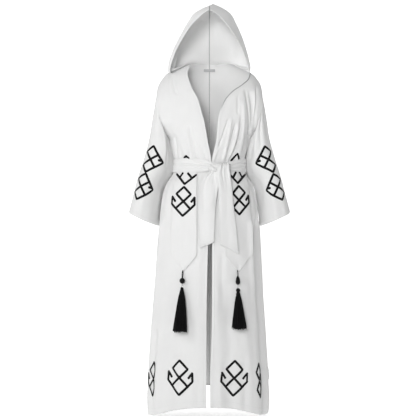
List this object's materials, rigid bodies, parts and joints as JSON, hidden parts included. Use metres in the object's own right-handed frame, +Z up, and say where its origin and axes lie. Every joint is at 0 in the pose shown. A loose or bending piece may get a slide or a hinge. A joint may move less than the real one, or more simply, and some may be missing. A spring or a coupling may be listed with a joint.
{
  "type": "hooded kaftan",
  "caption": "Full-length open-front muslin kaftan with a hood, wide sleeves, knotted tie belt, pointed front tabs with tassels and diamond embroidery, in its worn, hollow form.",
  "frame": {"origin": "between the two shoulders at the height where the wearer's shoulders carry the garment, on its middle plane", "axes": "+Z up, the front faces -Y, +X to the wearer's left"},
  "size_m": [0.6594, 0.4142, 1.6651],
  "materials": {
    "muslin": "matte white double-gauze muslin",
    "black_silk": "black silky thread, cord and wound bead",
    "link_metal": "thin bright wire link"
  },
  "bodies": {
    "root": {"front_right": "muslin", "front_left": "muslin", "back_right": "muslin", "back_left": "muslin", "sleeve_right": "muslin", "sleeve_left": "muslin", "hood_right": "muslin", "hood_left": "muslin", "tab_right": "muslin", "tab_left": "muslin", "belt_band": "muslin", "belt_knot": "muslin", "belt_end_right": "muslin", "belt_end_left": "muslin", "tassel_right_loop": "black_silk", "tassel_right_bead": "black_silk", "tassel_right_link": "link_metal", "tassel_right": "black_silk", "tassel_left_loop": "black_silk", "tassel_left_bead": "black_silk", "tassel_left_link": "link_metal", "tassel_left": "black_silk", "neck_label": "muslin"}
  },
  "joints": []
}
